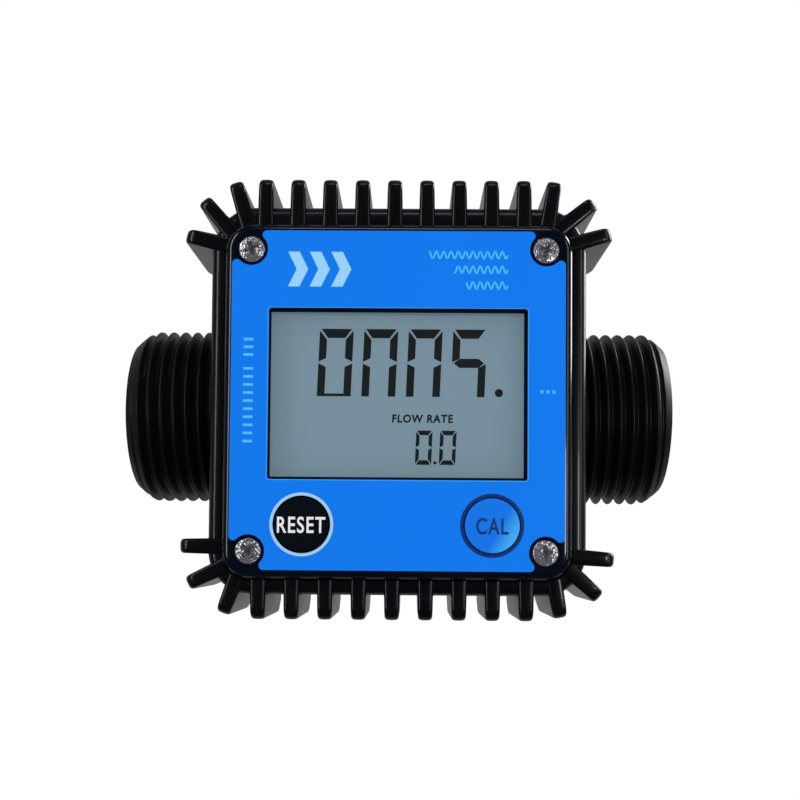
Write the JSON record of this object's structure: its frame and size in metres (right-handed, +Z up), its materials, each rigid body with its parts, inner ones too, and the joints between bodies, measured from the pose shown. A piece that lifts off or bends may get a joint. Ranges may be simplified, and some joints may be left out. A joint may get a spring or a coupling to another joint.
{
  "type": "turbine flow meter",
  "caption": "Square finned electronic flow meter with threaded in-line ports, a turbine rotor, a blue face, a digital display and two press keys.",
  "frame": {"origin": "on the axis of the flow duct, midway between the two port end faces", "axes": "+X along the flow from the inlet port to the outlet port, -Y out of the display face, +Z up"},
  "size_m": [0.101, 0.0454, 0.0776],
  "materials": {
    "case_plastic": "moulded glass filled nylon, satin gloss, black with a slight blue cast",
    "cover_plastic": "moulded nylon, glossy black",
    "label_print": "printed polyester, satin, bright blue",
    "clear_pane": "clear polycarbonate, polished",
    "display": "liquid crystal display behind glass, grey green",
    "frame_plastic": "moulded plastic, dark grey",
    "rubber": "soft black rubber",
    "board": "green coated glass fibre board",
    "chip_plastic": "moulded black epoxy",
    "component_metal": "drawn aluminium cans",
    "reed_glass": "clear glass capsule",
    "screw_metal": "bright plated steel",
    "cell_jacket": "plain grey jacket",
    "contact_metal": "nickel plated spring steel",
    "white_plastic": "acetal, natural white",
    "shaft_metal": "ground stainless steel",
    "bush_metal": "bearing bronze",
    "magnet": "dark sintered magnet",
    "reset_key": "embossed key, glossy black",
    "calibrate_key": "embossed key, glossy blue"
  },
  "bodies": {
    "body": {"housing": "case_plastic", "front_cover": "cover_plastic", "front_label": "label_print", "display_window": "clear_pane", "display_glass": "display", "display_frame": "frame_plastic", "contact_strips": "rubber", "circuit_board": "board", "processor_chip": "chip_plastic", "reed_sensors": "reed_glass", "board_components": "component_metal", "board_screws": "screw_metal", "cover_screws": "screw_metal", "cover_gasket": "rubber", "battery_contacts": "contact_metal", "battery_springs": "contact_metal", "battery_lower": "cell_jacket", "battery_upper": "cell_jacket", "inlet_straightener": "white_plastic", "outlet_straightener": "white_plastic", "inlet_bearing": "bush_metal", "outlet_bearing": "bush_metal", "inlet_retaining_ring": "shaft_metal", "outlet_retaining_ring": "shaft_metal", "reset_switch": "chip_plastic", "calibrate_switch": "chip_plastic"},
    "rotor": {"turbine_rotor": "white_plastic", "rotor_shaft": "shaft_metal", "rotor_magnet": "magnet"},
    "reset_key": {"reset_button": "reset_key", "reset_plunger": "frame_plastic"},
    "calibrate_key": {"calibrate_button": "calibrate_key", "calibrate_plunger": "frame_plastic"}
  },
  "joints": [
    {"name": "rotor_spin", "type": "hinge", "parent": "body", "child": "rotor", "pos_m": [0, 0, 0], "axis": [1, 0, 0], "continuous": true},
    {"name": "reset_press", "type": "slide", "parent": "body", "child": "reset_key", "axis": [0, 1, 0], "range_m": [0, 0.0006], "stiffness_N_per_m": 2500, "springref_m": -0.0004},
    {"name": "calibrate_press", "type": "slide", "parent": "body", "child": "calibrate_key", "axis": [0, 1, 0], "range_m": [0, 0.0006], "stiffness_N_per_m": 2500, "springref_m": -0.0004}
  ]
}
